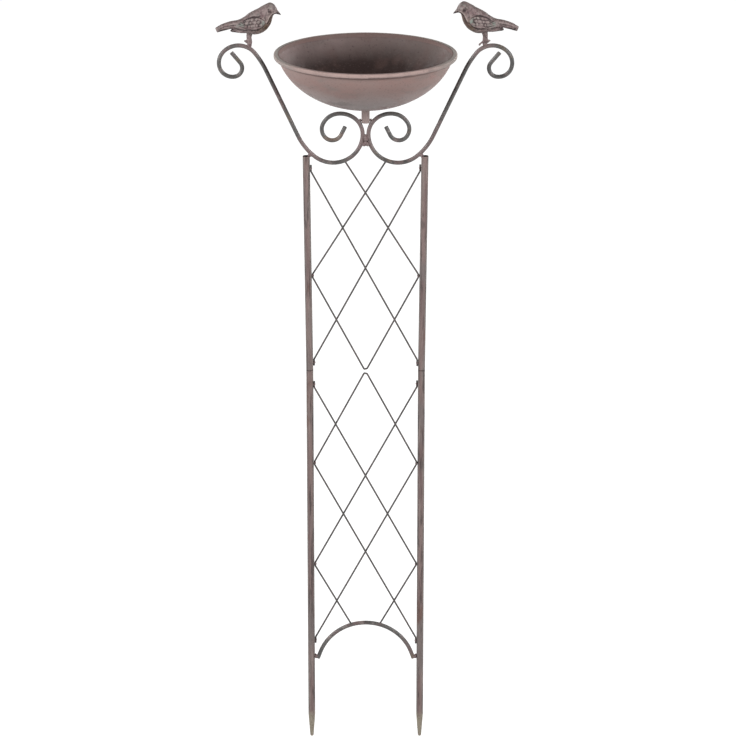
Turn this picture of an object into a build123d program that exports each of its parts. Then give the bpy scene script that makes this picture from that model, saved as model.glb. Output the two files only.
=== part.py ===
from build123d import *
from math import atan2, cos, degrees, radians, sin, sqrt, tan
import os

# A bird bath on two ground stakes: a spun bowl on a scrolled, two-section wire trellis.
# Millimetres. X runs across the trellis, Y front to back, Z up.
# The origin is midway between the stakes, level with their tips, on the trellis's plane.

# ---- legs: two thin tubes on each side, one above the other ----
leg_spacing = 188.0          # between the centrelines of the lower legs
joint_height = 676.0         # top end of the lower legs
joint_gap = 1.2              # left open between the tubes where the sections plug together
leg_splay = 3.8              # how far each upper leg leans outwards over its length
leg_top_gap = 1.53           # left open between the top of a leg and the scroll above it
tube_diameter = 12.0
tube_wall = 1.0
tip_diameter = 6.0
taper_length = 42.0
crease_radius = 2.0          # the four creases left by crimping the tip
crease_depth = 0.9

# ---- spigots: pressed into the upper legs, free in the lower ones ----
spigot_clearance = 0.6       # all round, inside the lower leg
spigot_reach = 35.0
spigot_root = 1.0            # how far the pin runs on inside the plug
plug_reach = 25.0

# ---- scrolls: each is one rod, bent from its innermost point both ways ----
rod_diameter = 7.0
scroll_gap = 2.6             # between the two scrolls at their closest
scroll_rise = 408.8          # from the foot of the upper legs to where the scrolls are closest
volute_bends = ((34.0, -53.6), (38.4, -45.7), (30.0, -56.5), (20.6, -65.3), (16.0, -112.7))
volute_tip = 15.7
base_bends = ((48.5, 129.0), (99.0, 26.0))
arm_length = 121.0
hook_bends = ((148.0, -13.2), (34.2, -96.6), (27.6, -54.7), (21.9, -90.7), (14.6, -119.8))
hook_tip = 21.6

# ---- bowl and the socket it drops into ----
socket_diameter = 13.5
socket_bore = 10.6
socket_length = 25.6
pin_clearance = 0.3          # all round, inside the socket
pin_length = 20.0
pin_gap = 0.3                # between the top of the pin and the bowl
bowl_gap = 0.4               # between the socket and the bowl
bowl_depth = 91.0
bowl_radius = 143.0          # outside of the wall under the lip
bowl_wall = 1.2
bowl_rise = 18.0             # how far the wall's ellipse is centred above the rim
lip_width = 7.0
lip_drop = 6.5
lip_roll = 2.2               # radius of the lip's outer edge

# ---- bottom arch ----
arch_gap = 1.9               # between the arch's end and the inside of a leg
arch_centre_height = 131.0
arch_sweep = 70.0            # each way from the top
arch_straight = 12.0

# ---- lattice wires ----
wire_diameter = 3.0
wire_bend_radius = 3.0
point_bend_radius = 2.0
point_width = 5.0            # flat left at the turned point of a zigzag wire
bend_flat = 5.0              # stretch of a bend that lies along the leg
tab_length = 11.0            # stretch of a wire's end that lies along the leg
upper_point_rise = 1.3       # from the foot of the upper legs to the zigzag's low point
diagonal_foot_rise = 17.8    # from the foot of the upper legs to the diagonals' lower tabs
diagonal_top_drop = 26.0     # from the top of the upper legs to the diagonals' upper tabs
scroll_wire_offset = 34.5    # where the zigzag's ends meet the scrolls
lower_point_drop = 5.7       # from the top of the lower legs to the zigzag's high point
side_wire_drop = 24.3        # from the zigzag's high point to the side wires' tabs
zigzag_foot_height = 187.3
arch_wire_offset = 24.0      # where the side wires meet the arch

# ---- welds ----
wire_bead_cover = 1.4        # thickness of a bead over its wire
centre_bead_radius = 4.9
centre_bead_half_height = 10.0
centre_bead_drop = 11.0      # below the scrolls' closest point
leg_bead_radius = 6.0
leg_bead_rise = 2.5          # from the top of the leg to the middle of its bead
socket_bead_radius = 3.2
socket_bead_rise = 4.0       # from the foot of the socket to the middle of its bead
socket_bead_offset = 1.2     # from the side of the socket
arch_bead_radius = 4.6
arch_bead_rise = 3.0         # above the end of the arch
weld_clearance = 0.02        # between a weld and the tube it lies on

# ---- birds ----
bird_offset = 188.0          # from the middle to the foot
bird_rise = 1.0              # from the top of the rod to the middle of the foot
# sections from tail to neck: along, up, slope in degrees, half height, half thickness
bird_sections = (
    (-57.5, 27.0, 20.0, 4.0, 4.5),
    (-40.0, 33.5, 18.0, 6.0, 5.0),
    (-22.0, 36.0, 18.0, 9.5, 7.0),
    (-6.0, 36.0, 25.0, 15.5, 10.5),
    (9.0, 40.5, 38.0, 20.0, 12.5),
    (22.0, 50.0, 48.0, 17.5, 11.5),
    (31.0, 58.5, 50.0, 12.5, 9.5),
)
bird_head = (30.5, 60.3, 11.8)               # along, up, radius
# tapered bars of the beak, vent, leg and hind toe: two ends (along, up), two radii
bird_bars = (
    ((38.0, 58.0), (48.5, 52.0), 5.0, 0.8),
    ((-8.0, 29.0), (-33.0, 27.5), 6.0, 2.0),
    ((-4.5, 26.0), (0.0, -3.0), 5.0, 3.8),
    ((0.0, 4.0), (-11.5, 7.5), 2.4, 1.5),
)


# ---------------------------------------------------------------- shared shapes

def bar(start, end, radius, end_radius=None):
    """A round bar, or a tapered one, between two points."""
    along = Vector(*end) - Vector(*start)
    place = Plane(origin=start, z_dir=along)
    low = (Align.CENTER, Align.CENTER, Align.MIN)
    if end_radius is None:
        return place * Cylinder(radius, along.length, align=low)
    return place * Cone(radius, end_radius, along.length, align=low)


def mirrored(shape, side):
    """The shape itself on the right (side 1), or its mirror image on the left (side -1)."""
    return shape if side > 0 else mirror(shape, about=Plane.YZ)


def pair(shape):
    """The shape on the right and its mirror image on the left, as one group of solids."""
    return Compound(children=shape.solids() + mirrored(shape, -1).solids())


def turned(shape):
    """The shape turned half way round the middle: front wires become back wires."""
    return Rot(0, 0, 180) * shape


def bent_run(start, heading, bends, tip):
    """Edges of a rod's centreline in the XZ plane: bends of (radius, turn), then a straight tip."""
    point = Vector(*start)
    direction = Vector(cos(radians(heading)), sin(radians(heading)))
    edges = []
    for radius, turn in bends:
        edge = JernArc(point, direction, radius, turn)
        edges.append(edge)
        point = edge @ 1
        direction = edge % 1
    edges.append(Line(point, point + direction * tip))
    return edges


def continued(edges, bends, tip):
    """More bends and a straight tip, carried on from the end of a run of edges."""
    end = edges[-1] @ 1
    direction = edges[-1] % 1
    heading = degrees(atan2(direction.Y, direction.X))
    return bent_run((end.X, end.Y), heading, bends, tip)


# ---------------------------------------------------------------- worked out from the sizes above

leg_x = leg_spacing / 2
tube_radius = tube_diameter / 2
bore_radius = tube_radius - tube_wall
spigot_radius = bore_radius - spigot_clearance
rod_radius = rod_diameter / 2
wire_radius = wire_diameter / 2
leg_foot = joint_height + joint_gap
leg_top_x = leg_x + leg_splay

scroll_x = scroll_gap / 2 + rod_radius
scroll_height = leg_foot + scroll_rise
volute_run = bent_run((scroll_x, scroll_height), 90, volute_bends, volute_tip)
base_run = bent_run((scroll_x, scroll_height), -90, base_bends, arm_length)
hook_run = continued(base_run, hook_bends, hook_tip)


def rod_line(edges, offset):
    """Height and direction of a centreline at this distance from the middle, where it runs outwards."""
    for edge in edges:
        if (edge @ 0).X <= offset <= (edge @ 1).X:
            low, high = 0.0, 1.0
            for halving in range(40):
                middle = (low + high) / 2
                if (edge @ middle).X < offset:
                    low = middle
                else:
                    high = middle
            return (edge @ low).Y, edge % low
    raise ValueError("the rod does not pass there")


# a leg ends just under the scroll, which slants up over the leg's inner edge
over_leg, over_leg_slant = rod_line(base_run, leg_top_x - tube_radius)
leg_top = over_leg - rod_radius / over_leg_slant.X - leg_top_gap

# the socket stands where its lower edge just meets both scroll rods
socket_radius = socket_diameter / 2
first_radius = volute_bends[0][0]
socket_seat = sqrt((first_radius + rod_radius) ** 2 - (scroll_x + first_radius - socket_radius) ** 2)
socket_bottom = scroll_height + socket_seat
socket_top = socket_bottom + socket_length
bowl_bottom = socket_top + bowl_gap
rim_height = bowl_bottom + bowl_depth

# the bowl's outer wall is part of an ellipsoid, centred above the rim
ellipse_height = bowl_depth + bowl_rise
ellipse_centre = rim_height + bowl_rise
under_lip = rim_height - lip_drop
ellipse_radius = bowl_radius / sqrt(1 - ((ellipse_centre - under_lip) / ellipse_height) ** 2)
lip_radius = bowl_radius + lip_width

# the arch ends beside the legs, whatever their spacing
arch_end_x = leg_x - tube_radius - rod_radius - arch_gap
arch_radius = (arch_end_x - arch_straight * cos(radians(arch_sweep))) / sin(radians(arch_sweep))
arch_end_rise = arch_radius * cos(radians(arch_sweep)) - arch_straight * sin(radians(arch_sweep))
arch_end_height = arch_centre_height + arch_end_rise

# upper lattice: the diagonals' run sets the slope of the zigzag too
upper_point = leg_foot + upper_point_rise
diagonal_foot = leg_foot + diagonal_foot_rise
diagonal_top = leg_top - diagonal_top_drop
upper_drop = (diagonal_top - diagonal_foot) / 2
upper_bend = upper_point + upper_drop

# lower lattice: the zigzag crosses the trellis three times between its point and its feet
lower_point = joint_height - lower_point_drop
lower_drop = (lower_point - zigzag_foot_height) / 3
zigzag_bend = lower_point - lower_drop
side_wire_top = lower_point - side_wire_drop
side_wire_bend = side_wire_top - 2 * lower_drop


def leg_axis(height):
    """Distance of a leg's centreline from the middle, at any height."""
    lean = max(0.0, height - leg_foot) / (leg_top - leg_foot)
    return leg_x + leg_splay * lean


def wire_axis(height):
    """Distance from the middle of a wire that lies along the inside of a leg."""
    return leg_axis(height) - tube_radius - wire_radius


# ---------------------------------------------------------------- rods

def round_rod(edges, diameter):
    """Sweeps a round section along edges drawn in the XZ plane."""
    path = Plane.XZ * Wire(edges)
    section = Plane(origin=path @ 0, z_dir=path % 0) * Circle(diameter / 2)
    return sweep(section, path=path)


def arch_rod():
    """The bottom arch: one round bend with a short straight leg at each end."""
    top = (0, arch_centre_height + arch_radius)
    right = bent_run(top, 0, ((arch_radius, -arch_sweep),), arch_straight)
    left = bent_run(top, 180, ((arch_radius, arch_sweep),), arch_straight)
    return round_rod(left + right, rod_diameter)


def hook_crown(offset):
    """Height of the top of the hook's rod at this distance from the middle."""
    crown = hook_run[1]
    radius = hook_bends[1][0]
    start = crown @ 0
    direction = crown % 0
    centre_x = start.X + direction.Y * radius
    centre_z = start.Y - direction.X * radius
    return centre_z + sqrt((radius + rod_radius) ** 2 - (offset - centre_x) ** 2)


# ---------------------------------------------------------------- legs

def lower_leg():
    """A tube with a crimped, rounded ground tip."""
    tip_radius = tip_diameter / 2
    tube = bar((leg_x, 0, taper_length), (leg_x, 0, joint_height), tube_radius)
    bore = bar((leg_x, 0, taper_length), (leg_x, 0, joint_height), bore_radius)
    taper = bar((leg_x, 0, tip_radius), (leg_x, 0, taper_length), tip_radius, tube_radius)
    nose = Pos(leg_x, 0, tip_radius) * Sphere(tip_radius)
    leg = tube - bore + taper + nose
    reach = crease_radius - crease_depth
    for turn in (45, 135, 225, 315):
        low_x = tip_radius + reach
        high_x = tube_radius + crease_radius
        crease = bar((low_x, 0, tip_radius), (high_x, 0, taper_length), crease_radius)
        end = Pos(low_x, 0, tip_radius) * Sphere(crease_radius)
        leg -= Pos(leg_x, 0, 0) * (Rot(0, 0, turn) * (crease + end))
    return leg


def upper_leg():
    """A plain open tube, leaning out a little towards its top."""
    foot = (leg_x, 0, leg_foot)
    top = (leg_top_x, 0, leg_top)
    return bar(foot, top, tube_radius) - bar(foot, top, bore_radius)


def spigot():
    """A plug that fills the foot of an upper leg and hangs straight down from it."""
    foot = Vector(leg_x, 0, leg_foot)
    lean = Vector(leg_splay, 0, leg_top - leg_foot).normalized()
    plug = bar(foot, foot + lean * plug_reach, bore_radius)
    pin = bar((leg_x, 0, leg_foot - spigot_reach), (leg_x, 0, leg_foot + spigot_root), spigot_radius)
    return plug + pin


# ---------------------------------------------------------------- lattice

def bent_wire(points, radii):
    """A wire along straight runs joined by tangent arcs, one radius for each corner."""
    corners = [Vector(*point) for point in points]
    edges = []
    start = corners[0]
    for before, corner, after, radius in zip(corners, corners[1:], corners[2:], radii):
        back = (before - corner).normalized()
        ahead = (after - corner).normalized()
        half = radians(back.get_angle(ahead) / 2)
        enter = corner + back * (radius / tan(half))
        leave = corner + ahead * (radius / tan(half))
        middle = corner + (back + ahead).normalized() * (radius / sin(half) - radius)
        edges.append(Line(start, enter))
        edges.append(ThreePointArc(enter, middle, leave))
        start = leave
    edges.append(Line(start, corners[-1]))
    path = Wire(edges)
    section = Plane(origin=path @ 0, z_dir=path % 0) * Circle(wire_radius)
    return sweep(section, path=path)


def upper_diagonal():
    """A front wire from the top of the left leg to the foot of the right one."""
    points = [
        (-wire_axis(diagonal_top), -wire_radius, diagonal_top + tab_length),
        (-wire_axis(diagonal_top), -wire_radius, diagonal_top),
        (wire_axis(diagonal_foot), -wire_radius, diagonal_foot),
        (wire_axis(diagonal_foot), -wire_radius, diagonal_foot - tab_length),
    ]
    return bent_wire(points, [wire_bend_radius] * 2)


def upper_zigzag():
    """One wire from the right scroll by way of the left leg, low point and right leg to the left scroll."""
    side = wire_axis(upper_bend)
    end = rod_line(base_run, scroll_wire_offset)[0]
    high = upper_bend + bend_flat / 2
    low = upper_bend - bend_flat / 2
    half_point = point_width / 2
    points = [
        (scroll_wire_offset, wire_radius, end),
        (-side, wire_radius, high),
        (-side, -wire_radius, low),
        (-half_point, -wire_radius, upper_point),
        (half_point, wire_radius, upper_point),
        (side, wire_radius, low),
        (side, -wire_radius, high),
        (-scroll_wire_offset, -wire_radius, end),
    ]
    bend = wire_bend_radius
    point = point_bend_radius
    return bent_wire(points, [bend, bend, point, point, bend, bend])


def lower_zigzag():
    """One wire from the right leg's foot by way of the left leg, high point and right leg to the left foot."""
    side = wire_axis(zigzag_bend)
    high = zigzag_bend + bend_flat / 2
    low = zigzag_bend - bend_flat / 2
    half_point = point_width / 2
    points = [
        (side, -wire_radius, zigzag_foot_height - tab_length),
        (side, -wire_radius, zigzag_foot_height),
        (-side, -wire_radius, low),
        (-side, wire_radius, high),
        (-half_point, wire_radius, lower_point),
        (half_point, -wire_radius, lower_point),
        (side, -wire_radius, high),
        (side, wire_radius, low),
        (-side, wire_radius, zigzag_foot_height),
        (-side, wire_radius, zigzag_foot_height - tab_length),
    ]
    bend = wire_bend_radius
    point = point_bend_radius
    return bent_wire(points, [bend, bend, bend, point, point, bend, bend, bend])


def lower_side_wire():
    """A wire from the top of the left leg, in front, round the right leg and back down to the arch."""
    side = wire_axis(side_wire_bend)
    end = arch_centre_height + sqrt(arch_radius ** 2 - arch_wire_offset ** 2)
    points = [
        (-side, -wire_radius, side_wire_top + tab_length),
        (-side, -wire_radius, side_wire_top),
        (side, -wire_radius, side_wire_bend + bend_flat / 2),
        (side, wire_radius, side_wire_bend - bend_flat / 2),
        (arch_wire_offset, wire_radius, end),
    ]
    return bent_wire(points, [wire_bend_radius] * 3)


# ---------------------------------------------------------------- bowl

def bowl_shape(radius, height):
    """Half of an ellipse of this radius and height, on the bowl's centre."""
    outline = Plane.XZ * (Pos(0, ellipse_centre) * Ellipse(radius, height))
    half = Plane.XZ * (Pos(radius, ellipse_centre - height / 2) * Rectangle(2 * radius, 2 * height))
    return outline & half


def bowl():
    """A spun shell with a lip turned out and down round its rim."""
    wall = bowl_shape(ellipse_radius, ellipse_height)
    wall -= bowl_shape(ellipse_radius - bowl_wall, ellipse_height - bowl_wall)
    above = Pos(0, rim_height + ellipse_radius) * Rectangle(3 * ellipse_radius, 2 * ellipse_radius)
    wall -= Plane.XZ * above
    lip_middle = lip_radius - lip_width / 2 - bowl_wall / 2
    lip = Rectangle(lip_width + bowl_wall, lip_drop)
    lip = fillet(lip.vertices().group_by(Axis.X)[-1], lip_roll)
    lip = Plane.XZ * (Pos(lip_middle, rim_height - lip_drop / 2) * lip)
    return revolve(wall + lip, Axis.Z)


def bowl_pin():
    """A round pin that drops into the socket and carries the bowl."""
    top = bowl_bottom - pin_gap
    return bar((0, 0, top - pin_length), (0, 0, top), socket_bore / 2 - pin_clearance)


def bowl_socket():
    """A short upright tube, welded between the tops of the two volutes."""
    tube = bar((0, 0, socket_bottom), (0, 0, socket_top), socket_radius)
    return tube - bar((0, 0, socket_bottom), (0, 0, socket_top), socket_bore / 2)


# ---------------------------------------------------------------- bird

def bird(perch):
    """A bird on the right-hand hook, facing the bowl, its foot shaped to the rod it stands on."""
    sections = []
    for along, up, slope, half_height, half_thickness in bird_sections:
        direction = (cos(radians(slope)), 0, sin(radians(slope)))
        place = Plane(origin=(along, 0, up), x_dir=(0, 1, 0), z_dir=direction)
        sections.append(place * Ellipse(half_thickness, half_height))
    head_along, head_up, head_radius = bird_head
    shape = loft(sections)
    shape += Pos(head_along, 0, head_up) * Sphere(head_radius)
    for (start_x, start_z), (end_x, end_z), radius, end_radius in bird_bars:
        shape += bar((start_x, 0, start_z), (end_x, 0, end_z), radius, end_radius)
    shape = Rot(0, 0, 180) * shape
    shape = Pos(bird_offset, 0, hook_crown(bird_offset) + bird_rise) * shape
    return shape - perch


# ---------------------------------------------------------------- welds

def wire_bead(side, face, height, neighbours):
    """A bead of weld round a wire where it lies along a leg."""
    bead = Pos(side * wire_axis(height), face * wire_radius, height) * Sphere(wire_radius + wire_bead_cover)
    for neighbour in neighbours:
        bead -= neighbour
    return bead


def beads(places, legs, wires):
    """Wire beads at (side, face, height), each cut clear of the legs and wires it joins."""
    group = []
    for side, face, height in places:
        group.append(wire_bead(side, face, height, legs + wires))
    return Compound(children=[solid for bead in group for solid in bead.solids()])


def centre_weld(rods):
    """The lumpy bead that joins the two scrolls in the middle."""
    half = Ellipse(centre_bead_radius, centre_bead_half_height)
    half &= Pos(centre_bead_radius, 0) * Rectangle(2 * centre_bead_radius, 4 * centre_bead_half_height)
    bead = revolve(Plane.XZ * half, Axis.Z)
    bead = Pos(0, 0, scroll_height - centre_bead_drop) * bead
    for rod in rods:
        bead -= rod
    return bead


def leg_weld(leg_solid, rod):
    """A bead in the corner between the top of an upper leg and the scroll above it."""
    bead = Pos(leg_top_x - tube_radius, 0, leg_top + leg_bead_rise) * Sphere(leg_bead_radius)
    return bead - leg_solid - rod


def socket_weld(socket_solid, rod):
    """A bead between the socket's side and a volute."""
    across = socket_radius + socket_bead_offset
    up = socket_bottom + socket_bead_rise
    bead = Pos(across, 0, up) * Sphere(socket_bead_radius)
    return bead - socket_solid - rod


def arch_weld(leg_solid, rod):
    """A bead that bridges from the arch's end to the inside of a leg."""
    bead_x = leg_x - tube_radius - arch_gap
    bead = Pos(bead_x, 0, arch_end_height + arch_bead_rise) * Sphere(arch_bead_radius)
    return bead - leg_solid - rod


# ---------------------------------------------------------------- the whole

right_scroll = round_rod(volute_run + base_run + hook_run, rod_diameter)
arch = arch_rod()
right_lower_leg = lower_leg()
right_upper_leg = upper_leg()
right_spigot = spigot()
socket = bowl_socket()
right_bird = bird(right_scroll)

both_scrolls = [right_scroll, mirrored(right_scroll, -1)]
lower_legs = [right_lower_leg, mirrored(right_lower_leg, -1)]
upper_legs = [right_upper_leg, mirrored(right_upper_leg, -1)]

front_diagonal = upper_diagonal()
back_diagonal = turned(front_diagonal)
high_zigzag = upper_zigzag()
for rod in both_scrolls:
    high_zigzag -= rod
low_zigzag = lower_zigzag()
front_side_wire = lower_side_wire() - arch
back_side_wire = turned(front_side_wire)

# weld places are (side, face, height); face is -1 for a front wire and 1 for a back wire
tab_middle = tab_length / 2
upper_places = [
    (-1, -1, diagonal_top + tab_middle),
    (1, 1, diagonal_top + tab_middle),
    (1, -1, diagonal_foot - tab_middle),
    (-1, 1, diagonal_foot - tab_middle),
    (-1, 0, upper_bend),
    (1, 0, upper_bend),
]
lower_places = [
    (-1, -1, side_wire_top + tab_middle),
    (1, 1, side_wire_top + tab_middle),
    (-1, 0, side_wire_bend),
    (1, 0, side_wire_bend),
    (-1, 0, zigzag_bend),
    (1, 0, zigzag_bend),
    (1, -1, zigzag_foot_height - tab_middle),
    (-1, 1, zigzag_foot_height - tab_middle),
]
# welds are cut against solid bars, so that none of them reaches inside a tube
clear_radius = tube_radius + weld_clearance
solid_upper_leg = bar((leg_x, 0, leg_foot), (leg_top_x, 0, leg_top), clear_radius)
solid_lower_leg = bar((leg_x, 0, taper_length), (leg_x, 0, joint_height), clear_radius)
upper_bars = [solid_upper_leg, mirrored(solid_upper_leg, -1)]
lower_bars = [solid_lower_leg, mirrored(solid_lower_leg, -1)]
solid_socket = bar((0, 0, socket_bottom), (0, 0, socket_top), socket_radius)

nodes = {
    "lower_left_leg": lower_legs[1],
    "lower_right_leg": lower_legs[0],
    "upper_left_leg": upper_legs[1],
    "upper_right_leg": upper_legs[0],
    "left_spigot": mirrored(right_spigot, -1),
    "right_spigot": right_spigot,
    "bottom_arch": arch,
    "left_scroll": both_scrolls[1],
    "right_scroll": both_scrolls[0],
    "bowl_socket": socket,
    "bowl_pin": bowl_pin(),
    "bowl": bowl(),
    "left_bird": mirrored(right_bird, -1),
    "right_bird": right_bird,
    "upper_front_diagonal": front_diagonal,
    "upper_back_diagonal": back_diagonal,
    "upper_zigzag_wire": high_zigzag,
    "lower_zigzag_wire": low_zigzag,
    "lower_front_wire": front_side_wire,
    "lower_back_wire": back_side_wire,
    "scroll_centre_weld": centre_weld(both_scrolls),
    "leg_top_welds": pair(leg_weld(solid_upper_leg, right_scroll)),
    "socket_welds": pair(socket_weld(solid_socket, right_scroll)),
    "arch_welds": pair(arch_weld(solid_lower_leg, arch)),
    "upper_wire_welds": beads(upper_places, upper_bars, [front_diagonal, back_diagonal, high_zigzag]),
    "lower_wire_welds": beads(lower_places, lower_bars, [low_zigzag, front_side_wire, back_side_wire]),
}

os.makedirs("parts", exist_ok=True)
for name, shape in nodes.items():
    export_step(shape, f"parts/{name}.step")
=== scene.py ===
from math import radians

import bmesh
import bpy
import numpy as np
from mathutils import Matrix, Vector, noise


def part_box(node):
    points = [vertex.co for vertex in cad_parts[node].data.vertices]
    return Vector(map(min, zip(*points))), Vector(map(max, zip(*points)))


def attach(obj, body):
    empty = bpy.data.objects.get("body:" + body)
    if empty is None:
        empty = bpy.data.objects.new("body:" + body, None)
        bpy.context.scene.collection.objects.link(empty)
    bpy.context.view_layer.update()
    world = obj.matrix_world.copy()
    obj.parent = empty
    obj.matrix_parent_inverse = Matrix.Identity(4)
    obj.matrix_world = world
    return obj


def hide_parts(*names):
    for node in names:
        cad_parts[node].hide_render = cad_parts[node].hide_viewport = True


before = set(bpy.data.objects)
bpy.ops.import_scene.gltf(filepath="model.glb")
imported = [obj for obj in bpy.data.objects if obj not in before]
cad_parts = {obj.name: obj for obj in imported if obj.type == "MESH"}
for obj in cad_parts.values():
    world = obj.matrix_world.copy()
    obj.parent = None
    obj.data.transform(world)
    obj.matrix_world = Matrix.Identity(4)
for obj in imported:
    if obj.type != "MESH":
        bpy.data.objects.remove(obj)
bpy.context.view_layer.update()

MM = 0.001
scene = bpy.context.scene


# ---------------------------------------------------------------- camera, floor and light

CAMERA_PLACE = (0.004, -5.2553, 2.4791)
CAMERA_LENS = 161.4
SENSOR_WIDTH = 36.0
FARTHEST_SEEN = 200.0
LOOKING_DOWN = 18.9   # degrees
LAMP_SIZE = (1.6, 2.6)
LAMP_TARGET = (0, 0, 0.7)
LAMPS = [   # name, place, watts
    ("left_softbox", (-3.4, -2.6, 2.6), 130),
    ("right_softbox", (3.4, -2.6, 2.4), 120),
    ("back_left_softbox", (-3.2, 3.0, 2.6), 75),
    ("back_right_softbox", (3.2, 3.0, 2.4), 70),
]

camera_data = bpy.data.cameras.new("camera")
camera_data.lens = CAMERA_LENS
camera_data.sensor_width = SENSOR_WIDTH
camera_data.clip_end = FARTHEST_SEEN
camera = bpy.data.objects.new("camera", camera_data)
camera.location = CAMERA_PLACE
camera.rotation_euler = (radians(90 - LOOKING_DOWN), 0, 0)
scene.collection.objects.link(camera)
scene.camera = camera
scene.view_settings.view_transform = "Standard"


def softbox(name, place, watts):
    """A large soft lamp that points at the middle of the bird bath."""
    data = bpy.data.lights.new(name, "AREA")
    data.shape = "RECTANGLE"
    data.size, data.size_y = LAMP_SIZE
    data.energy = watts
    lamp = bpy.data.objects.new(name, data)
    lamp.location = place
    lamp.rotation_euler = (Vector(LAMP_TARGET) - Vector(place)).to_track_quat("-Z", "Y").to_euler()
    scene.collection.objects.link(lamp)


for lamp in LAMPS:
    softbox(*lamp)


# ---------------------------------------------------------------- material kit

NOISE_ROUGHNESS = 0.55
BUMP_STRENGTH = 0.6


def put(tree, kind, settings, inputs):
    """Adds a node, sets its properties, and sets or links its inputs."""
    node = tree.nodes.new(kind)
    for key, value in settings.items():
        setattr(node, key, value)
    for key, value in inputs.items():
        if isinstance(value, bpy.types.NodeSocket):
            tree.links.new(value, node.inputs[key])
        else:
            node.inputs[key].default_value = value
    return node


def blend(tree, amount, under, over):
    """Lays one colour over another."""
    node = put(tree, "ShaderNodeMix", {"data_type": "RGBA"}, {0: amount, 6: under, 7: over})
    return node.outputs[2]


def maths(tree, operation, first, second=0.0):
    """The result of a sum on one or two numbers."""
    return put(tree, "ShaderNodeMath", {"operation": operation}, {0: first, 1: second}).outputs[0]


def step(tree, value, low, high, start=0.0, end=1.0):
    """Goes smoothly from start to end as the value goes from low to high."""
    inputs = {"Value": value, "From Min": low, "From Max": high, "To Min": start, "To Max": end}
    return put(tree, "ShaderNodeMapRange", {"interpolation_type": "SMOOTHSTEP"}, inputs).outputs[0]


def vector_maths(tree, operation, inputs):
    """A node for a sum on places; its first output is a place, and "Value" is a number."""
    return put(tree, "ShaderNodeVectorMath", {"operation": operation}, inputs).outputs


def grain(tree, place, scale, detail=3.0, stretch=(1, 1, 1), offset=0.0):
    """Noise over the surface, at so many spots per metre.

    It is drawn out along an axis where stretch is under 1.
    """
    at = vector_maths(tree, "MULTIPLY", {0: place, 1: stretch})[0]
    at = vector_maths(tree, "ADD", {0: at, 1: (offset, offset, offset)})[0]
    inputs = {"Vector": at, "Scale": scale, "Detail": detail, "Roughness": NOISE_ROUGHNESS}
    return put(tree, "ShaderNodeTexNoise", {}, inputs).outputs["Fac"]


def near(tree, place, point, reach):
    """1 around a point, falling to 0 at this distance from it."""
    away = vector_maths(tree, "DISTANCE", {0: place, 1: point})["Value"]
    return step(tree, away, reach * 0.35, reach, 1.0, 0.0)


def rgb(red, green, blue):
    """A colour seen on screen, from 0 to 255, as a linear colour."""
    linear = []
    for value in (red, green, blue):
        share = value / 255
        linear.append(share / 12.92 if share <= 0.04045 else ((share + 0.055) / 1.055) ** 2.4)
    return (*linear, 1.0)


class Paint:
    """One procedural material: colours laid over each other, then roughness and bump."""

    def __init__(self, name, colour, metallic=0.0, specular=0.35):
        self.material = bpy.data.materials.new(name)
        self.material.use_nodes = True
        self.tree = self.material.node_tree
        self.shader = self.tree.nodes["Principled BSDF"]
        self.shader.inputs["Metallic"].default_value = metallic
        self.shader.inputs["Specular IOR Level"].default_value = specular
        coordinates = put(self.tree, "ShaderNodeTexCoord", {}, {})
        self.place = coordinates.outputs["Object"]
        self.facing = coordinates.outputs["Normal"]
        self.colour = colour

    def axis(self, source, letter):
        """One of the three numbers of a place or direction."""
        return put(self.tree, "ShaderNodeSeparateXYZ", {}, {0: source}).outputs[letter]

    def lay(self, colour, *amounts):
        """Lays a colour over what is there, by the product of the amounts."""
        amount = amounts[0]
        for other in amounts[1:]:
            amount = maths(self.tree, "MULTIPLY", amount, other)
        self.colour = blend(self.tree, amount, self.colour, colour)

    def noise(self, scale, low, high, top=1.0, **shape):
        """Patches of noise: 0 where it is under low, top where it is over high."""
        return step(self.tree, grain(self.tree, self.place, scale, **shape), low, high, 0.0, top)

    def finish(self, rough, depth, scale, **shape):
        """Roughness that varies a little between two values, and a fine bump."""
        tree = self.tree
        tree.links.new(self.colour, self.shader.inputs["Base Color"])
        spread = step(tree, grain(tree, self.place, 180.0, offset=3.1), 0.3, 0.7, *rough)
        tree.links.new(spread, self.shader.inputs["Roughness"])
        height = grain(tree, self.place, scale, **shape)
        inputs = {"Strength": BUMP_STRENGTH, "Distance": depth, "Height": height}
        bump = put(tree, "ShaderNodeBump", {}, inputs)
        tree.links.new(bump.outputs["Normal"], self.shader.inputs["Normal"])
        return self.material


# ---------------------------------------------------------------- studio surroundings

SIDE_WALLS = 0.097   # brightness that the side walls add
LOW_WALLS = 0.064
HIGH_WALLS = 0.137


def surroundings(name):
    """Soft white walls: brightest at both sides and above, dimmest in front and below."""
    world = bpy.data.worlds.new(name)
    world.use_nodes = True
    tree = world.node_tree
    along = put(tree, "ShaderNodeTexCoord", {}, {}).outputs["Generated"]
    parts = put(tree, "ShaderNodeSeparateXYZ", {}, {0: along}).outputs
    sides = step(tree, maths(tree, "ABSOLUTE", parts["X"]), 0.25, 0.95, 0.0, SIDE_WALLS)
    above = step(tree, parts["Z"], -0.25, 0.9, LOW_WALLS, HIGH_WALLS)
    background = tree.nodes["Background"]
    background.inputs["Color"].default_value = (1, 1, 1, 1)
    tree.links.new(maths(tree, "ADD", sides, above), background.inputs["Strength"])
    return world


scene.world = surroundings("studio")


# ---------------------------------------------------------------- materials

# heights and radii in metres, each from where a layer starts to where it is full
WORN_TIP = (0.066, 0.05)
SPECKLED_TIP = (0.07, 0.05)
UPPER_TUBES = (0.55, 0.6)
BORE_SHADE = (0.0056, 0.0052)
SOCKET_REACH = 0.1


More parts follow.
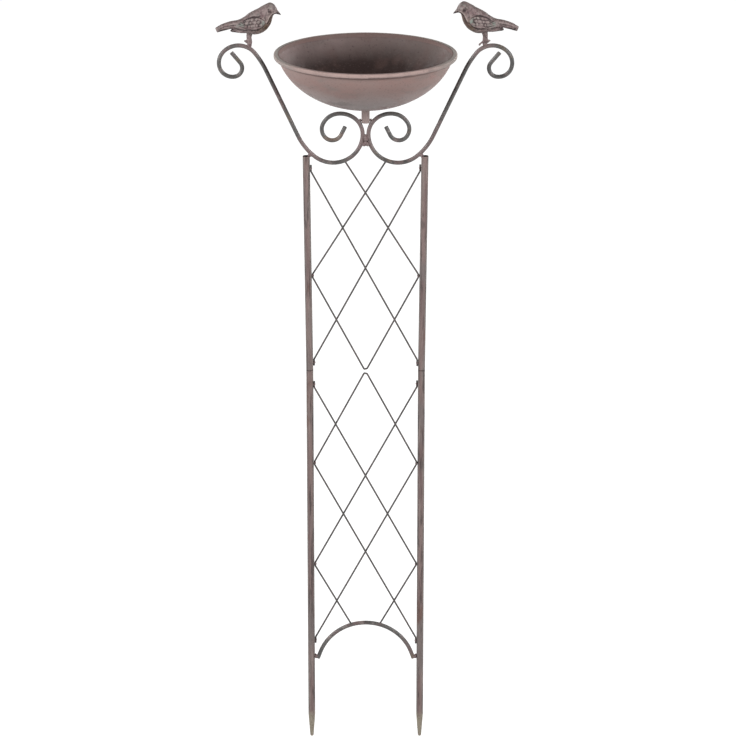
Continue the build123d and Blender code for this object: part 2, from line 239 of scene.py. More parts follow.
def leg_line(node):
    """How far out a leg's line is at the ground, and how much further out per metre of height."""
    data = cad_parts[node].data
    places = np.array([vertex.co for vertex in data.vertices])
    height = places[:, 2]
    low, high = places[height < height.min() + 0.002], places[height > height.max() - 0.002]
    slope = (high[:, 0].mean() - low[:, 0].mean()) / (high[:, 2].mean() - low[:, 2].mean())
    return low[:, 0].mean() - slope * low[:, 2].mean(), slope


def tube_material():
    """Legs and socket: mauve-brown paint brushed along the tube, with a greyer painted sheen along
    the sides that face left and right.

    The socket is paler, the stake tips are worn bare, and the insides of the upper bores are
    painted dark as painted shade.
    """
    paint = Paint("aged_tube", rgb(151, 130, 126))
    tree = paint.tree
    long = (1, 1, 0.045)
    blotches = paint.noise(16.0, 0.5, 0.62, 0.7, stretch=(1, 1, 0.5), offset=31.0)
    dark_streaks = paint.noise(230.0, 0.54, 0.64, 0.8, stretch=(1, 1, 0.07), offset=14.0)
    pale_streaks = paint.noise(250.0, 0.58, 0.68, 0.6, stretch=(1, 1, 0.06), offset=21.0)
    side = maths(tree, "ABSOLUTE", paint.axis(paint.facing, "X"))
    # painted sheen: the sides of the tube that face left and right are painted greyer
    side_sheen = step(tree, side, 0.5, 0.95)
    brushed = paint.noise(120.0, 0.2, 0.5, 0.85, stretch=long, offset=1.7)
    paint.lay(rgb(126, 104, 103), paint.noise(150.0, 0.42, 0.66, 0.9, stretch=long))
    paint.lay(rgb(154, 144, 139), paint.noise(190.0, 0.5, 0.72, 0.75, stretch=long, offset=5.3))
    paint.lay(rgb(136, 131, 127), side_sheen, brushed)
    paint.lay(rgb(132, 123, 121), blotches)
    paint.lay(rgb(120, 88, 78), paint.noise(42.0, 0.58, 0.7, 0.7, stretch=(1, 1, 0.35), offset=9.0))
    paint.lay(rgb(86, 78, 77), paint.noise(95.0, 0.57, 0.68, 0.7, stretch=(1, 1, 0.2), offset=17.0))
    paint.lay(rgb(80, 68, 67), dark_streaks)
    paint.lay(rgb(178, 160, 154), pale_streaks)
    paint.lay(rgb(92, 78, 76), paint.noise(310.0, 0.6, 0.76, 0.6, stretch=(1, 1, 0.2), offset=2.0))
    low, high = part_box("bowl_socket")
    socket = (0, 0, (low.z + high.z) / 2)
    paint.lay(rgb(178, 158, 154), near(tree, paint.place, socket, SOCKET_REACH))
    height = paint.axis(paint.place, "Z")
    ragged = maths(tree, "MULTIPLY", grain(tree, paint.place, 110.0, offset=4.0), 0.03)
    worn = maths(tree, "ADD", height, ragged)
    paint.lay(rgb(176, 165, 148), step(tree, worn, *WORN_TIP))
    speckled = step(tree, worn, *SPECKLED_TIP)
    paint.lay(rgb(118, 108, 96), speckled, paint.noise(330.0, 0.5, 0.68, 0.6))
    out_at_ground, slope = leg_line("upper_right_leg")
    line = maths(tree, "ADD", maths(tree, "MULTIPLY", height, slope), out_at_ground)
    out = maths(tree, "SUBTRACT", maths(tree, "ABSOLUTE", paint.axis(paint.place, "X")), line)
    across = {"X": out, "Y": paint.axis(paint.place, "Y")}
    flat = put(tree, "ShaderNodeCombineXYZ", {}, across).outputs[0]
    radius = vector_maths(tree, "LENGTH", {0: flat})["Value"]
    # painted shade: the inside of each upper tube's bore is painted nearly black
    paint.lay(rgb(34, 28, 27), step(tree, height, *UPPER_TUBES), step(tree, radius, *BORE_SHADE))
    return paint.finish((0.42, 0.62), 0.00022, 700.0, stretch=(1, 1, 0.25))


OVERSPRAY_REACH = 0.03


def rod_material():
    """Scrolls and arch: grey paint over drawn rod, with mauve overspray by the welds and birds."""
    paint = Paint("aged_rod", rgb(101, 98, 96), specular=0.55)
    tree = paint.tree
    paint.lay(rgb(124, 104, 103), paint.noise(17.0, 0.49, 0.58, 0.8))
    paint.lay(rgb(78, 77, 76), paint.noise(44.0, 0.52, 0.62, 0.85, offset=6.0))
    paint.lay(rgb(130, 114, 96), paint.noise(30.0, 0.58, 0.66, 0.55, offset=12.0))
    paint.lay(rgb(148, 136, 132), paint.noise(70.0, 0.56, 0.66, 0.6, offset=20.0))
    for point in overspray_points:
        paint.lay(rgb(140, 119, 118), near(tree, paint.place, point, OVERSPRAY_REACH), 0.7)
    paint.lay(rgb(82, 78, 77), paint.noise(420.0, 0.56, 0.74, 0.6, offset=2.0))
    paint.lay(rgb(152, 146, 142), paint.noise(520.0, 0.6, 0.76, 0.4, offset=8.0))
    return paint.finish((0.3, 0.46), 0.0002, 620.0)


def wire_material():
    """Lattice wires: thin dark grey paint."""
    paint = Paint("aged_wire", rgb(94, 91, 89))
    paint.lay(rgb(112, 102, 100), paint.noise(40.0, 0.45, 0.65, 0.8))
    paint.lay(rgb(78, 76, 75), paint.noise(240.0, 0.52, 0.7, 0.7, offset=4.0))
    return paint.finish((0.46, 0.66), 0.00018, 900.0)


def weld_material():
    """Weld beads: mauve paint over lumpy metal, with dark burnt hollows."""
    paint = Paint("aged_weld", rgb(134, 113, 113))
    paint.lay(rgb(152, 136, 134), paint.noise(260.0, 0.48, 0.66, 0.8))
    paint.lay(rgb(78, 60, 60), paint.noise(300.0, 0.58, 0.7, 0.75, offset=3.0))
    return paint.finish((0.42, 0.62), 0.0005, 520.0)


JOINT_SHADOW = (0.0024, 0.0017)   # above and below the joint, in metres


def steel_material():
    """Plugs and pins: dull bare steel with faint turning marks, dark at the joint of the legs."""
    paint = Paint("aged_steel", rgb(168, 163, 156), metallic=0.85, specular=0.5)
    paint.lay(rgb(128, 122, 114), paint.noise(90.0, 0.45, 0.7, 0.8, stretch=(1, 1, 0.3)))
    paint.lay(rgb(92, 78, 66), paint.noise(300.0, 0.6, 0.75, 0.6))
    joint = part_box("upper_right_leg")[0].z
    away = maths(paint.tree, "SUBTRACT", paint.axis(paint.place, "Z"), joint)
    away = maths(paint.tree, "ABSOLUTE", away)
    paint.lay(rgb(38, 31, 30), step(paint.tree, away, *JOINT_SHADOW))
    return paint.finish((0.34, 0.52), 0.0001, 1500.0, stretch=(1, 1, 4))


# distances from the bowl's axis in metres, each from where a layer starts to where it is full
WELL_SHADE_EDGE = (0.109, 0.141)
LIP = (0.1425, 0.1440)
CROOK_INSIDE = (0.1412, 0.1420)
CROOK_OUTSIDE = (0.1440, 0.1432)
LIP_HIGHLIGHT_EDGE = (0.1462, 0.1484)
LIP_ENDS = (0.09, 0.135)
LIP_BACK = (-0.09, 0.03)


def bowl_material():
    """Bowl: cloudy mauve-brown paint, greyer low down outside and painted paler there as painted
    light, painted shade deepening into the well with painted light on its left side, and a worn
    pale lip with painted shade where it bends and a painted highlight along its outer rim.
    """
    paint = Paint("aged_bowl", rgb(182, 154, 148))
    tree = paint.tree
    low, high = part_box("bowl")
    depth = high.z - low.z
    cloud = (1, 1, 2.4)
    height = paint.axis(paint.place, "Z")
    sideways = paint.axis(paint.place, "X")
    across = vector_maths(tree, "MULTIPLY", {0: paint.place, 1: (1, 1, 0)})[0]
    radius = vector_maths(tree, "LENGTH", {0: across})["Value"]
    # greyer and paler low down outside: the grey is the paint's own tone, the paleness is painted
    # light on the lower part
    low_grey_and_painted_light = step(tree, height, high.z - 0.3 * depth, low.z + 0.2 * depth, 0.0, 0.95)
    grey_cloud = paint.noise(18.0, 0.5, 0.66, 0.55, detail=5.0, stretch=cloud, offset=7.0)
    paint.lay(rgb(222, 206, 203), low_grey_and_painted_light)
    paint.lay(rgb(186, 146, 138), paint.noise(13.0, 0.46, 0.66, 0.5, detail=5.0, stretch=cloud))
    paint.lay(rgb(162, 148, 143), grey_cloud)
    inside = step(tree, paint.axis(paint.facing, "Z"), -0.05, 0.05)
    wander = maths(tree, "MULTIPLY", grain(tree, paint.place, 14.0, offset=4.0), 0.016)
    # painted shade: the well darkens from the rim down to a dark brown middle
    well_shade_fade = step(tree, maths(tree, "SUBTRACT", radius, wander), *WELL_SHADE_EDGE)
    # painted light: the inside of the well is painted lighter on the left than on the right
    wall_with_painted_light = blend(tree, step(tree, sideways, -0.11, 0.11), rgb(150, 130, 127), rgb(124, 108, 104))
    well = blend(tree, well_shade_fade, rgb(66, 51, 48), wall_with_painted_light)
    for colour, patches in [
        (rgb(108, 98, 94), paint.noise(20.0, 0.48, 0.64, 0.3, detail=5.0, offset=2.0)),
        (rgb(112, 86, 80), paint.noise(26.0, 0.5, 0.66, 0.35, detail=5.0, offset=23.0)),
        (rgb(62, 48, 46), paint.noise(210.0, 0.6, 0.7, 0.4, offset=41.0)),
    ]:
        well = blend(tree, patches, well, colour)
    paint.lay(well, inside)
    lip = step(tree, radius, *LIP)
    paint.lay(rgb(158, 136, 131), lip)
    back = step(tree, paint.axis(paint.place, "Y"), *LIP_BACK)
    paint.lay(rgb(184, 176, 168), lip, back, paint.noise(20.0, 0.35, 0.55, 0.95, offset=5.0))
    # painted shade: a dark ring where the inside turns into the lip
    crook_shade = (step(tree, radius, *CROOK_INSIDE), step(tree, radius, *CROOK_OUTSIDE))
    paint.lay(rgb(112, 92, 88), *crook_shade, 0.55)
    ends = step(tree, maths(tree, "ABSOLUTE", sideways), *LIP_ENDS)
    paint.lay(rgb(168, 162, 156), ends, lip, 0.85)
    # painted highlight: a pale band along the outer rim of the lip, strongest away from its left
    # and right ends
    edge = step(tree, radius, *LIP_HIGHLIGHT_EDGE)
    front = step(tree, ends, 0.0, 1.0, 1.0, 0.3)
    paint.lay(rgb(204, 177, 170), edge, front, paint.noise(26.0, 0.2, 0.5, 0.9, offset=1.0))
    paint.lay(rgb(126, 106, 102), paint.noise(330.0, 0.55, 0.74, 0.42, offset=3.0))
    outside = step(tree, paint.axis(paint.facing, "Z"), 0.05, -0.05, 0.0, 0.4)
    paint.lay(rgb(200, 184, 178), outside, paint.noise(560.0, 0.6, 0.76, offset=11.0))
    return paint.finish((0.5, 0.7), 0.00025, 480.0, detail=5.0)


def bird_material():
    """Birds: cast metal under mauve paint, with the colours that the marks on their mesh ask for.

    Marks are painted shade in the hollows, grooves and creases, a darker beak, a brown chest, green
    patina on the wing, and painted highlights on the ridges and feathers.
    """
    paint = Paint("aged_bird", rgb(165, 146, 144))
    tree = paint.tree
    marks = put(tree, "ShaderNodeAttribute", {"attribute_name": "marks"}, {}).outputs
    dark, brown, green = (paint.axis(marks["Color"], letter) for letter in "XYZ")
    paint.lay(rgb(138, 113, 114), paint.noise(110.0, 0.45, 0.6, 0.8))
    paint.lay(rgb(112, 96, 94), paint.noise(75.0, 0.54, 0.66, 0.6, offset=15.0))
    paint.lay(rgb(158, 152, 147), paint.noise(150.0, 0.52, 0.7, 0.6, offset=6.0))
    # painted shade: surfaces of the birds that face upwards are painted darker
    upward_shade = step(tree, paint.axis(paint.facing, "Z"), 0.45, 0.85, 0.0, 0.75)
    paint.lay(rgb(118, 104, 101), upward_shade)
    paint.lay(rgb(122, 100, 80), brown, paint.noise(140.0, 0.3, 0.5, 0.95, offset=3.0))
    paint.lay(rgb(156, 168, 158), green, paint.noise(200.0, 0.4, 0.56, 0.9, offset=9.0))
    # painted shade in the hollows, grooves and creases, from the marks' first channel
    paint.lay(rgb(46, 34, 34), dark)
    # painted highlights on the ridges and feathers, from the marks' fourth channel
    paint.lay(rgb(206, 190, 184), marks["Alpha"])
    paint.lay(rgb(92, 80, 79), paint.noise(700.0, 0.56, 0.74, 0.45, offset=2.0))
    return paint.finish((0.42, 0.6), 0.0003, 800.0)


FLOOR_GLOW = 0.94


def floor_material():
    """A plain pale studio floor, lit from within so that it stays white far back."""
    paint = Paint("studio_floor", rgb(150, 150, 150), specular=0.1)
    paint.lay(rgb(146, 146, 146), paint.noise(3.0, 0.4, 0.6, 0.4))
    paint.shader.inputs["Emission Color"].default_value = (1, 1, 1, 1)
    paint.shader.inputs["Emission Strength"].default_value = FLOOR_GLOW
    return paint.finish((0.8, 0.9), 0.0001, 30.0)


# ---------------------------------------------------------------- mesh kit

def mesh_object(name, points, faces):
    """A mesh object from points in metres."""
    mesh = bpy.data.meshes.new(name)
    mesh.from_pydata([tuple(point) for point in points], [], faces)
    mesh.update()
    piece = bpy.data.objects.new(name, mesh)
    scene.collection.objects.link(piece)
    return piece


def skin(rings):
    """Points and faces of a closed skin over rings of equally many points."""
    count = len(rings[0])
    points = [point for ring in rings for point in ring]
    faces = []
    for row in range(len(rings) - 1):
        for column in range(count):
            after = (column + 1) % count
            first = row * count
            second = first + count
            faces.append((first + column, second + column, second + after, first + after))
    for row, turn in ((0, 1), (len(rings) - 1, -1)):
        points.append(np.mean(rings[row], axis=0))
        centre = len(points) - 1
        for column in range(count):
            after = (column + 1) % count
            corners = (row * count + column, row * count + after, centre)
            faces.append(corners[::turn])
    return points, faces


def eased(rows, count):
    """A smooth curve through rows of numbers, as this many rows."""
    rows = np.array(rows, float)
    padded = np.vstack([2 * rows[0] - rows[1], rows, 2 * rows[-1] - rows[-2]])
    result = []
    for value in np.linspace(0, len(rows) - 1, count):
        index = min(int(value), len(rows) - 2)
        t = value - index
        a, b, c, d = padded[index:index + 4]
        curve = 2 * a - 5 * b + 4 * c - d + t * (3 * (b - c) + d - a)
        result.append(b + 0.5 * t * (c - a + t * curve))
    return np.array(result)


def add_shape(points, faces, shape):
    """Adds another shape's points and faces to the lists."""
    start = len(points)
    points.extend(shape[0])
    faces.extend(tuple(index + start for index in face) for face in shape[1])


def fused(piece, voxel, rounds):
    """The piece remeshed into one even skin and smoothed a little."""
    remesh = piece.modifiers.new("remesh", "REMESH")
    remesh.mode = "VOXEL"
    remesh.voxel_size = voxel
    smooth = piece.modifiers.new("smooth", "SMOOTH")
    smooth.iterations = rounds
    smooth.factor = 0.5
    graph = bpy.context.evaluated_depsgraph_get()
    mesh = bpy.data.meshes.new_from_object(piece.evaluated_get(graph))
    piece.modifiers.clear()
    old = piece.data
    piece.data = mesh
    bpy.data.meshes.remove(old)
    return piece


def vertex_arrays(mesh):
    """Places and normals of a mesh's vertices."""
    places = np.zeros(len(mesh.vertices) * 3)
    normals = np.zeros(len(mesh.vertices) * 3)
    mesh.vertices.foreach_get("co", places)
    mesh.vertices.foreach_get("normal", normals)
    return places.reshape(-1, 3), normals.reshape(-1, 3)


def reshape(piece, places):
    """Moves a piece's vertices and makes it look smooth."""
    piece.data.vertices.foreach_set("co", places.ravel())
    piece.data.polygons.foreach_set("use_smooth", [True] * len(piece.data.polygons))
    piece.data.update()


def lumpiness(places, scale):
    """Fractal noise at each place, from about -1 to 1."""
    return np.array([noise.fractal(Vector(place) * scale, 1.0, 2.0, 3) for place in places])


def stands_in_for(piece, node, body, material):
    """The piece takes the place of a CAD node, with a material in a slot."""
    piece.data.materials.append(material)
    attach(piece, body)
    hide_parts(node)


def smoothstep(low, high, value):
    """Goes smoothly from 0 to 1 as the value goes from low to high."""
    t = np.clip((value - low) / (high - low), 0, 1)
    return t * t * (3 - 2 * t)


def line_distance(x, z, points):
    """Distance in the side view from each vertex to a run of straight lines."""
    best = np.full(len(x), 1e9)
    for (ax, az), (bx, bz) in zip(points, points[1:]):
        dx, dz = bx - ax, bz - az
        t = np.clip(((x - ax) * dx + (z - az) * dz) / (dx * dx + dz * dz), 0, 1)
        best = np.minimum(best, np.hypot(x - ax - t * dx, z - az - t * dz))
    return best


# ---------------------------------------------------------------- birds

# the bird's sides in millimetres: upper edge, lower edge, half thickness, from tail to beak
BIRD_SIDES = [
    (-59.0, 30.6, -55.8, 23.2, 5.0),
    (-52.0, 35.0, -47.8, 25.4, 5.6),
    (-44.3, 38.6, -40.0, 27.4, 5.8),
    (-33.3, 42.0, -31.5, 29.2, 6.2),
    (-25.5, 43.3, -23.5, 27.8, 7.4),
    (-18.6, 45.3, -15.5, 25.0, 9.2),
    (-11.0, 49.8, -8.0, 22.4, 11.2),
    (-3.8, 55.3, 0.5, 20.7, 12.8),
    (3.5, 59.4, 7.0, 20.0, 13.6),
    (10.9, 63.1, 14.5, 21.6, 13.8),
    (16.5, 66.5, 23.2, 26.8, 13.2),
    (21.9, 69.4, 28.8, 33.2, 12.1),
    (26.3, 71.6, 32.2, 39.6, 10.9),
    (30.6, 72.8, 34.0, 46.0, 10.1),
    (35.0, 71.3, 35.2, 50.4, 9.2),
    (38.4, 68.4, 36.6, 52.8, 7.9),
    (41.0, 64.4, 38.6, 53.8, 5.8),
    (43.0, 60.0, 41.0, 53.9, 3.8),
    (45.7, 56.4, 44.4, 53.0, 2.1),
    (48.4, 52.9, 47.6, 52.0, 0.7),
]
# knobbly limbs in millimetres: along, up, half width, half thickness
BIRD_VENT = [
    (-6, 28.5, 6.5, 7.5),
    (-16, 26.6, 4.6, 5.5),
    (-26, 26.6, 3.4, 4.0),
    (-32, 26.2, 2.2, 2.8),
    (-34.4, 26.0, 1.0, 1.4),
]
BIRD_LEG = [
    (-3.2, 29, 6.4, 6.0),
    (-3.2, 22.5, 5.0, 4.4),
    (-2.4, 17.8, 4.6, 3.8),
    (-1.4, 13.8, 4.0, 3.5),
    (-0.6, 11.2, 4.2, 3.7),
    (-0.6, 8.4, 4.8, 4.1),
    (0.0, 5.2, 4.2, 4.1),
    (0.0, 2.4, 4.0, 4.4),
    (0.0, -1.2, 3.2, 4.2),
]
HIND_TOE = [
    (-1.0, 6.8, 3.0, 3.0),
    (-4.4, 7.4, 2.6, 2.5),
    (-6.6, 8.0, 1.8, 1.8),
    (-8.2, 8.0, 1.2, 1.3),
    (-9.0, 7.6, 0.6, 0.6),
]
FRONT_TOE = [
    (1.0, 7.4, 2.2, 2.4),
    (4.4, 5.8, 1.8, 2.0),
    (7.2, 3.4, 1.5, 1.7),
    (8.8, 1.6, 1.7, 1.8),
    (9.8, 0.2, 0.8, 0.9),
]

# more of the bird, in millimetres
BEAK_TO_FOOT = 48.9
HEAD_ABOVE_FOOT = 72.3
TAIL_NOTCH = (-55.0, 0.0, 27.2)
FOOT_TOP, BODY_FOOT = 9.0, 24.0   # between these heights the leg bends
WING_MIDDLE = (0.6, 39.6)
WING_HALF = 21.5
WING_WIDTH = 10.4
WING_SLOPE = radians(7.5)
FEATHER_ROWS = (7.0, 1.9, -3.2)
FEATHER_WIDTH = 6.6
BIRD_VOXEL = 0.45
BIRD_LUMPS_PER_METRE = 230
DARKEST = 0.92   # share of the colour of the painted shade in the hollows
BODY_RINGS, BODY_SIDES = 150, 64
LIMB_RINGS, LIMB_SIDES = 30, 20


def limb_rings(rows):
    """Rings round a limb, across its own line."""
    curve = eased(rows, LIMB_RINGS)
    heading = np.gradient(curve[:, :2], axis=0)
    rings = []
    for (x, z, wide, thick), (dx, dz) in zip(curve, heading):
        across = np.array([-dz, dx]) / np.hypot(dx, dz)
        ring = []
        for angle in np.linspace(0, 2 * np.pi, LIMB_SIDES, endpoint=False):
            reach = wide * np.cos(angle)
            ring.append((x + across[0] * reach, thick * np.sin(angle), z + across[1] * reach))
        rings.append(np.array(ring) * MM)
    return rings


def body_rings():
    """Rings round the bird's body, wider below the middle than above."""
    rings = []
    for upper_x, upper_z, lower_x, lower_z, thick in eased(BIRD_SIDES, BODY_RINGS):
        middle = np.array([(upper_x + lower_x) / 2, (upper_z + lower_z) / 2])
        half = np.array([(upper_x - lower_x) / 2, (upper_z - lower_z) / 2])
        ring = []
        for angle in np.linspace(0, 2 * np.pi, BODY_SIDES, endpoint=False):
            x, z = middle + half * np.cos(angle)
            y = thick * np.sin(angle) * (1 - 0.12 * np.cos(angle))
            ring.append((x, y, z))
        rings.append(np.array(ring) * MM)
    return rings


def settled(places, stand):
    """Points moved so that the body and the foot each sit where stand says."""
    body_along, body_up, foot_along, foot_up = stand
    share = smoothstep(FOOT_TOP * MM, BODY_FOOT * MM, places[:, 2])
    moved = places.copy()
    moved[:, 0] += (foot_along + (body_along - foot_along) * share) * MM
    moved[:, 2] += (foot_up + (body_up - foot_up) * share) * MM
    return moved


def wing_relief(x, z):
    """Height, painted shade, patina and painted highlight of the folded wing, and where the wing
    is.

    It has rows of scalloped feathers in front and slanting quills behind.
    """
    along = (x - WING_MIDDLE[0]) * np.cos(WING_SLOPE) + (z - WING_MIDDLE[1]) * np.sin(WING_SLOPE)
    up = (z - WING_MIDDLE[1]) * np.cos(WING_SLOPE) - (x - WING_MIDDLE[0]) * np.sin(WING_SLOPE)
    share = np.clip(along / WING_HALF, -1, 1)
    width = WING_WIDTH * np.sqrt(np.maximum(1 - np.abs(share) ** 2.4, 1e-6))
    width = width * (0.5 + 0.5 * smoothstep(-1.0, 0.35, share))
    inside = np.abs(up) / np.maximum(width, 0.3)
    inside = np.where(np.abs(along) > WING_HALF, 2.0, inside)
    body = smoothstep(1.06, 0.84, inside)
    rim = np.exp(-((inside - 1.06) / 0.10) ** 2)
    height = 0.75 * body - 0.55 * rim
    dark = 0.9 * rim * smoothstep(-26, -4, along)
    green = 0.35 * body * smoothstep(11, 16, along)
    light = np.zeros(len(x))
    fore = smoothstep(-15, -10, along) * smoothstep(18, 14, along) * smoothstep(0.98, 0.86, inside)
    for row, level in enumerate(FEATHER_ROWS):
        shift = FEATHER_WIDTH / 2 * (row % 2)
        stepped = (along + shift + 1.2 + 0.9 * np.sin(0.55 * along + row)) / FEATHER_WIDTH
        cell = (stepped - np.floor(stepped) - 0.5) * FEATHER_WIDTH
        worn = 0.75 + 0.25 * np.sin(2.3 * np.floor(stepped) + 1.9 * row)
        ring = np.hypot((cell - 0.3 * (up - level)) / 3.1, (up - level) / 2.5)
        band = fore * (np.abs(up - level) < 2.55)
        height += band * (0.8 * np.exp(-(ring / 0.85) ** 2) - 0.45)
        pit = 0.35 * np.exp(-(ring / 0.4) ** 2)
        dark += band * worn * (0.8 * smoothstep(0.7, 1.02, ring) - pit)
        green += band * 0.35 * np.exp(-(ring / 0.5) ** 2) * smoothstep(-12, 12, along)
        # painted highlight: a pale stroke on each feather
        shaft = np.exp(-((cell + 0.7) / 0.9) ** 2 - ((up - level) / 1.7) ** 2)
        light += band * worn * 0.42 * shaft
    quills = np.sin((up + 0.42 * along) * 2 * np.pi / 3.1)
    rear = smoothstep(-8, -13, along) * smoothstep(1.0, 0.8, inside)
    height += 0.28 * rear * quills
    dark += 0.62 * rear * smoothstep(-0.1, -0.9, quills)
    return height, dark, green, light, body


def bird_relief(x, z):
    """Height, painted shade, chest brown, patina and painted highlight over the bird's sides."""
    height, dark, green, light, wing = wing_relief(x, z)

    def ridge(points, width, rise, shade=0.0, painted_highlight=0.0):
        nonlocal height, dark, light
        close = np.exp(-(line_distance(x, z, points) / width) ** 2)
        height = height + rise * close
        dark = dark + shade * close
        light = light + painted_highlight * close

    throat = [(39.8, 57.6), (34.8, 56.6), (31.1, 53.9), (28.6, 49.8), (26.7, 45.2), (24.2, 41.5)]
    ridge(throat, 0.9, 0.9, -0.4, 0.62)
    ridge([(px + 1.9, pz - 1.7) for px, pz in throat], 1.2, -0.6, 0.8)
    ridge([(25.2, 58.5), (22.6, 51.5), (22.8, 45.5)], 0.9, -0.4, 0.5)
    ridge([(26.0, 63.8), (29.0, 65.6), (33.2, 64.2), (34.4, 61.0)], 1.0, 0.5, -0.1, 0.3)
    ridge([(28.4, 63.4), (27.6, 60.8), (29.2, 58.4), (32.4, 58.6)], 1.0, -0.6, 0.75)
    ridge([(29.6, 60.4), (31.4, 60.6)], 1.1, -0.4, 0.8)
    ridge([(36.0, 55.2), (41.0, 55.6), (47.0, 53.4)], 0.7, -0.4, 0.7)
    ridge([(13.0, 29.6), (0.0, 28.0), (-12.0, 28.6), (-27.0, 30.6)], 1.0, -0.5, 0.7)
    ridge([(16.0, 52.6), (5.0, 51.2), (-4.0, 48.8), (-12.0, 44.6)], 1.0, -0.4, 0.6)
    ridge([(-25.0, 36.8), (-43.0, 33.6), (-57.4, 27.6)], 0.8, -0.55, 0.7)
    ridge([(-25.0, 39.8), (-43.0, 36.4), (-57.6, 29.8)], 0.7, 0.3, 0.0, 0.25)
    ridge([(-28.0, 33.0), (-42.0, 30.0), (-56.0, 25.0)], 0.8, -0.35, 0.55)
    dark += 0.6 * smoothstep(-22, -28, x) * smoothstep(30.0, 28.6, z)
    ripple = np.sin((x * 0.55 + z * 0.84) * 2.1)
    height += 0.16 * ripple * smoothstep(0.4, 0.0, wing) * smoothstep(46, 30, z)
    brown = np.exp(-(((x - 21) / 13) ** 2 + ((z - 33) / 11) ** 2)) * (1 - wing)
    brown += 0.8 * np.exp(-(((x - 33) / 4.5) ** 2 + ((z - 47) / 7) ** 2))
    green += np.exp(-(((x + 17) / 5.5) ** 2 + ((z - 36.0) / 4.0) ** 2))
    green += 0.9 * np.exp(-(((x - 18.5) / 2.6) ** 2 + ((z - 42.5) / 3.4) ** 2))
    green += 0.45 * np.exp(-(((x - 33) / 6.0) ** 2 + ((z - 66) / 5.0) ** 2))
    beak = smoothstep(42.0, 46.0, x)
    dark = dark * smoothstep(-57, -50, x)
    dark = np.clip(dark + 0.55 * beak, 0, DARKEST)
    return height, dark, np.clip(brown, 0, 1), np.clip(green, 0, 1), light


def bird_mesh(name, front_toe, stand):
    """A cast bird looking along +X, its foot near the origin, carved on both sides."""
    points, faces = skin(body_rings())
    # the tail's end is notched: the middle of its cap is pulled in
    tail_middle = len(points) - 2
    points[tail_middle] = np.array(TAIL_NOTCH) * MM
    limbs = [BIRD_VENT, BIRD_LEG, HIND_TOE] + ([FRONT_TOE] if front_toe else [])
    for rows in limbs:
        add_shape(points, faces, skin(limb_rings(rows)))
    piece = fused(mesh_object(name, points, faces), BIRD_VOXEL * MM, 4)
    places, normals = vertex_arrays(piece.data)
    x, z = places[:, 0] / MM, places[:, 2] / MM
    height, dark, brown, green, light = bird_relief(x, z)
    limb = smoothstep(21.5, 18.5, z)
    knobs = lumpiness(places, BIRD_LUMPS_PER_METRE)
    flank = smoothstep(0.12, 0.55, np.abs(normals[:, 1])) * (1 - limb)
    places += normals * ((height * flank + knobs * (0.12 + 0.4 * limb)) * MM)[:, None]
    reshape(piece, settled(places, stand))
    # painted shade in the low spots between the cast lumps
    crease_shade = smoothstep(0.05, -0.35, knobs) * 0.35
    dark = np.clip(dark * flank + crease_shade + 0.08 * limb, 0, DARKEST)
    marks = piece.data.attributes.new("marks", "FLOAT_COLOR", "POINT")
    light = np.clip(light * flank, 0, 0.8)
    values = np.stack([dark, brown * (1 - limb), green * flank, light], axis=1)
    marks.data.foreach_set("color", values.ravel())
    return piece


def bird_foot():
    """How far out the birds' feet are, and how high, from the CAD birds."""
    low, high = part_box("right_bird")
    return low.x + BEAK_TO_FOOT * MM, high.z - HEAD_ABOVE_FOOT * MM


def perch_bird(node, side, front_toe, stand):
    """A carved bird in the place of its CAD node, facing the bowl.

    Stand says how far its body and its foot are moved, along and up, in millimetres.
    """
    piece = bird_mesh(node + "_cast", front_toe, stand)
    foot_x, foot_z = bird_foot()
    place = Matrix.Translation((side * foot_x, 0, foot_z))
    if side > 0:
        place = place @ Matrix.Rotation(radians(180), 4, "Z")
    piece.data.transform(place)
    stands_in_for(piece, node, "upper_section", bird_paint)


# ---------------------------------------------------------------- welds

def islands(node):
    """Middle and half size of each separate solid in a CAD node."""
    form = bmesh.new()
    form.from_mesh(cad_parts[node].data)
    bmesh.ops.remove_doubles(form, verts=form.verts, dist=1e-6)
    left = set(form.verts)
    found = []
    while left:
        group, edge = set(), [next(iter(left))]
        while edge:
            vertex = edge.pop()
            if vertex in group:
                continue
            group.add(vertex)
            edge.extend(link.other_vert(vertex) for link in vertex.link_edges)
        left -= group
        places = np.array([vertex.co for vertex in group])
        found.append(((places.min(0) + places.max(0)) / 2, (places.max(0) - places.min(0)) / 2))
    form.free()
    return sorted(found, key=lambda item: (round(item[0][2], 5), round(item[0][0], 5)))


def bead_points(middle, half):
    """A round bead's points and faces."""
    form = bmesh.new()
    bmesh.ops.create_icosphere(form, subdivisions=3, radius=1.0)
    points = [np.array(vertex.co) * half + middle for vertex in form.verts]
    faces = [tuple(vertex.index for vertex in face.verts) for face in form.faces]
    form.free()
    return points, faces


WELD_VOXEL = 0.4
WELD_LUMPS = 0.45   # how far the fine lumps stand out, in millimetres
WELD_LUMPS_PER_METRE = 330


def weld_piece(node, body, lumps):
    """Lumpy weld in the place of each solid of a CAD node: several beads melted together.

    A lump is a shift and a size, as shares of the solid's half size. A shift in X is outwards.
    """
    points, faces = [], []
    for middle, half in islands(node):
        outwards = np.array([np.sign(round(middle[0], 4)) or 1, 1, 1])
        for shift, share in lumps:
            centre = middle + np.array(shift) * half * outwards
            add_shape(points, faces, bead_points(centre, half * np.array(share)))
    piece = fused(mesh_object(node + "_beads", points, faces), WELD_VOXEL * MM, 3)
    places, normals = vertex_arrays(piece.data)
    lumps_out = lumpiness(places, WELD_LUMPS_PER_METRE) * WELD_LUMPS * MM
    places += normals * lumps_out[:, None]
    reshape(piece, places)
    stands_in_for(piece, node, body, weld_paint)


# ---------------------------------------------------------------- putting it together

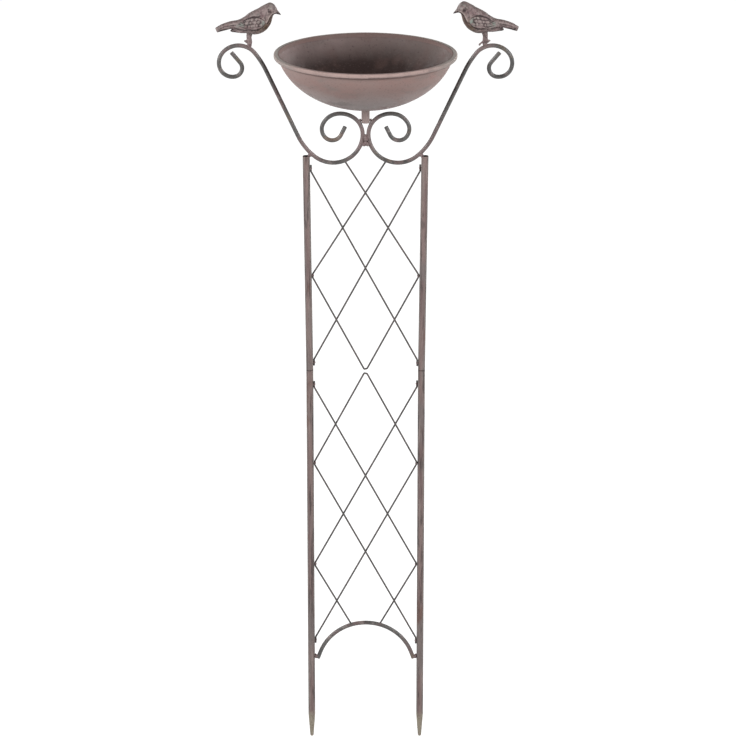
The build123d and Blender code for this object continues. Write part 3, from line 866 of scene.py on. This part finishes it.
foot_x, foot_z = bird_foot()
weld_low, weld_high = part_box("scroll_centre_weld")
leg_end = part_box("upper_right_leg")[1]
leg_weld_x, leg_weld_z = leg_end.x - 8 * MM, leg_end.z + 3 * MM
overspray_points = [
    (foot_x, 0, foot_z),
    (-foot_x, 0, foot_z),
    (0, 0, (weld_low.z + weld_high.z) / 2),
    (0, 0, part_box("bowl_socket")[0].z),
    (leg_weld_x, 0, leg_weld_z),
    (-leg_weld_x, 0, leg_weld_z),
]

tube_paint = tube_material()
rod_paint = rod_material()
wire_paint = wire_material()
weld_paint = weld_material()
bare_steel = steel_material()
bowl_paint = bowl_material()
bird_paint = bird_material()

finishes = [
    ("tube_paint", tube_paint, ["lower_left_leg", "lower_right_leg",
                                "upper_left_leg", "upper_right_leg", "bowl_socket"]),
    ("rod_paint", rod_paint, ["bottom_arch", "left_scroll", "right_scroll"]),
    ("wire_paint", wire_paint, ["upper_front_diagonal", "upper_back_diagonal", "upper_zigzag_wire",
                                "lower_zigzag_wire", "lower_front_wire", "lower_back_wire"]),
    ("bare_steel", bare_steel, ["left_spigot", "right_spigot", "bowl_pin"]),
    ("bowl_paint", bowl_paint, ["bowl"]),
]
for slot, material, names in finishes:
    for name in names:
        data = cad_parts[name].data
        data.materials.clear()
        data.materials.append(material)

# the photo's birds each sit a little to the right of their place in the CAD
perch_bird("left_bird", -1, False, (2.5, -0.6, -1.0, 0.0))
perch_bird("right_bird", 1, True, (-2.5, 1.6, -6.5, 0.6))

weld_piece("scroll_centre_weld", "upper_section", [
    ((0, 0, 0.42), (1.05, 1.15, 0.66)),
    ((0.25, -0.4, 0.3), (1.0, 1.0, 0.34)),
    ((-0.3, -0.2, 0.62), (0.7, 1.0, 0.3)),
    ((0, 0, -0.3), (0.85, 0.8, 0.55)),
    ((-0.7, -0.2, -0.58), (0.95, 1.05, 0.36)),
    ((0.75, -0.2, -0.56), (0.95, 1.05, 0.38)),
])
weld_piece("leg_top_welds", "upper_section", [
    ((-0.35, 0, 0.1), 0.72),
    ((-0.6, -0.1, 0.45), 0.45),
    ((0.1, -0.35, -0.3), 0.42),
    ((0.05, 0.35, -0.1), 0.45),
])
weld_piece("socket_welds", "upper_section", [((0, 0, 0), 0.85), ((0.2, 0, 0.4), 0.55)])
weld_piece("arch_welds", "lower_section", [((0, 0, 0), 0.85), ((0.3, 0.2, 0.4), 0.6)])
wire_lumps = [
    ((0, 0, 0), (0.76, 0.8, 0.85)),
    ((0, 0.1, 0.6), (0.6, 0.6, 0.5)),
    ((0.1, -0.1, -0.6), (0.55, 0.55, 0.5)),
]
weld_piece("upper_wire_welds", "upper_section", wire_lumps)
weld_piece("lower_wire_welds", "lower_section", wire_lumps)

reach = 60.0
corners = [(-reach, -reach, 0), (reach, -reach, 0), (reach, reach, 0), (-reach, reach, 0)]
floor = mesh_object("floor", corners, [(0, 1, 2, 3)])
floor.data.materials.append(floor_material())
floor.visible_diffuse = False
